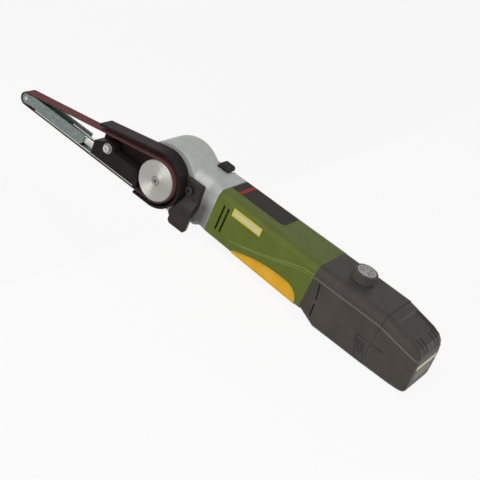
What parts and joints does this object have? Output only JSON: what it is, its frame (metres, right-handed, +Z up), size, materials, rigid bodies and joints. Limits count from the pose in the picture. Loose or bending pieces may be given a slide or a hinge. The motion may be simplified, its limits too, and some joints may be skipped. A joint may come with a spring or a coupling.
{
  "type": "cordless power file",
  "caption": "Cordless power file: a swivelling arm carries a narrow sanding belt on a sprung fork, driven from a slim battery motor body with paddle switch and speed dial.",
  "frame": {"origin": "middle of the flat underside of the rear casing, on the tool's middle plane, where it lies on the bench", "axes": "+X along the body from the belt's tip towards the battery, +Z up, +Y away from the belt's side"},
  "size_m": [0.362, 0.0523, 0.0508],
  "materials": {
    "green_shell": "fine satin grain moulding",
    "charcoal_shell": "fine satin grain moulding",
    "black_plastic": "semi-gloss moulding",
    "amber_plastic": "satin moulding",
    "cast_alloy": "bead-blasted die casting",
    "turned_alloy": "turned face with fine rings",
    "zinc_steel": "zinc-plated pressed steel",
    "steel": "machined steel",
    "abrasive": "aluminium-oxide abrasive cloth",
    "magnet": "sintered ferrite",
    "copper": "wound copper and laminations",
    "brass": "plain brass strip",
    "board": "solder-resist laminate",
    "pot_body": "moulded potentiometer body",
    "cell": "shrink-wrapped cell",
    "dial_face": "pale printed dial face",
    "plate": "bare yellow-framed plate",
    "label": "bare black film label"
  },
  "bodies": {
    "tool": {"gear_head": "cast_alloy", "bearing_flange": "cast_alloy", "flange_screws": "steel", "front_bearing": "steel", "rear_bearing": "steel", "pinion_bearing": "steel", "retaining_ring": "steel", "side_bracket": "black_plastic", "clamp_screw": "steel", "lock_spring": "steel", "motor_housing": "green_shell", "head_screws": "steel", "motor_plate": "steel", "motor_screws": "steel", "motor_can": "steel", "motor_magnets": "magnet", "motor_end_bell": "black_plastic", "motor_brushes": "magnet", "paddle_pins": "steel", "paddle_spring": "steel", "switch_carrier": "black_plastic", "micro_switch": "black_plastic", "rear_casing": "charcoal_shell", "casing_screws": "steel", "circuit_board": "board", "potentiometer": "pot_body", "terminal_block": "black_plastic", "name_plate": "plate", "rating_label": "label"},
    "lock": {"lock_button": "black_plastic", "lock_bar": "steel"},
    "spindle": {"spindle": "steel", "crown_gear": "steel", "drive_roller": "turned_alloy", "roller_screw": "steel"},
    "rotor": {"motor_shaft": "steel", "armature": "copper", "cooling_fan": "black_plastic", "pinion": "steel"},
    "arm": {"arm_guard": "black_plastic", "arm_block": "black_plastic", "arm_screw": "steel", "arm_washer": "steel", "platen": "steel", "sanding_belt": "abrasive", "tension_spring": "steel"},
    "fork": {"fork": "zinc_steel", "guide_bar": "zinc_steel", "fork_rivet": "zinc_steel", "tip_pin": "steel"},
    "tip": {"tip_roller": "steel"},
    "paddle": {"paddle": "amber_plastic"},
    "dial": {"speed_knob": "black_plastic", "knob_cap": "dial_face"},
    "battery": {"battery_case": "charcoal_shell", "battery_cells": "cell", "battery_front": "black_plastic", "battery_contacts": "brass"},
    "latch_near": {"latch_near": "charcoal_shell"},
    "latch_far": {"latch_far": "charcoal_shell"}
  },
  "joints": [
    {"name": "arm_swivel", "type": "hinge", "parent": "tool", "child": "arm", "pos_m": [-0.1699, -0.024, 0.024], "axis": [0, -1, 0], "range_deg": [0, 60]},
    {"name": "spindle_spin", "type": "hinge", "parent": "tool", "child": "spindle", "pos_m": [-0.1699, -0.024, 0.024], "axis": [0, 1, 0], "continuous": true},
    {"name": "rotor_spin", "type": "hinge", "parent": "tool", "child": "rotor", "pos_m": [-0.1114, 0, 0.024], "axis": [1, 0, 0], "continuous": true},
    {"name": "fork_slide", "type": "slide", "parent": "arm", "child": "fork", "axis": [1, 0, 0], "range_m": [0, 0.006], "stiffness_N_per_m": 1500, "springref_m": -0.008, "deforming": ["tension_spring"]},
    {"name": "tip_roller_spin", "type": "hinge", "parent": "fork", "child": "tip", "pos_m": [-0.3017, -0.024, 0.0128], "axis": [0, 1, 0], "continuous": true},
    {"name": "lock_press", "type": "slide", "parent": "tool", "child": "lock", "axis": [0, 0, -1], "range_m": [0, 0.0025], "stiffness_N_per_m": 600, "springref_m": -0.002, "deforming": ["lock_spring"]},
    {"name": "paddle_press", "type": "hinge", "parent": "tool", "child": "paddle", "pos_m": [-0.1039, 0, 0.012], "axis": [0, -1, 0], "range_deg": [0, 3.5], "stiffness_Nm_per_rad": 2.5, "springref_deg": -4.58, "deforming": ["paddle_spring"]},
    {"name": "dial_turn", "type": "hinge", "parent": "tool", "child": "dial", "pos_m": [-0.0105, 0, 0.044], "axis": [0, 0, 1], "range_deg": [0, 270]},
    {"name": "battery_slide", "type": "slide", "parent": "tool", "child": "battery", "axis": [1, 0, 0], "range_m": [0, 0.034]},
    {"name": "latch_near_press", "type": "slide", "parent": "battery", "child": "latch_near", "axis": [0, 1, 0], "range_m": [0, 0.0018], "stiffness_N_per_m": 800, "springref_m": -0.0015},
    {"name": "latch_far_press", "type": "slide", "parent": "battery", "child": "latch_far", "axis": [0, -1, 0], "range_m": [0, 0.0018], "stiffness_N_per_m": 800, "springref_m": -0.0015}
  ],
  "couplings": [
    {"joint": "rotor_spin", "follows": "spindle_spin", "ratio": -3},
    {"joint": "tip_roller_spin", "follows": "spindle_spin", "ratio": 3.6667}
  ]
}
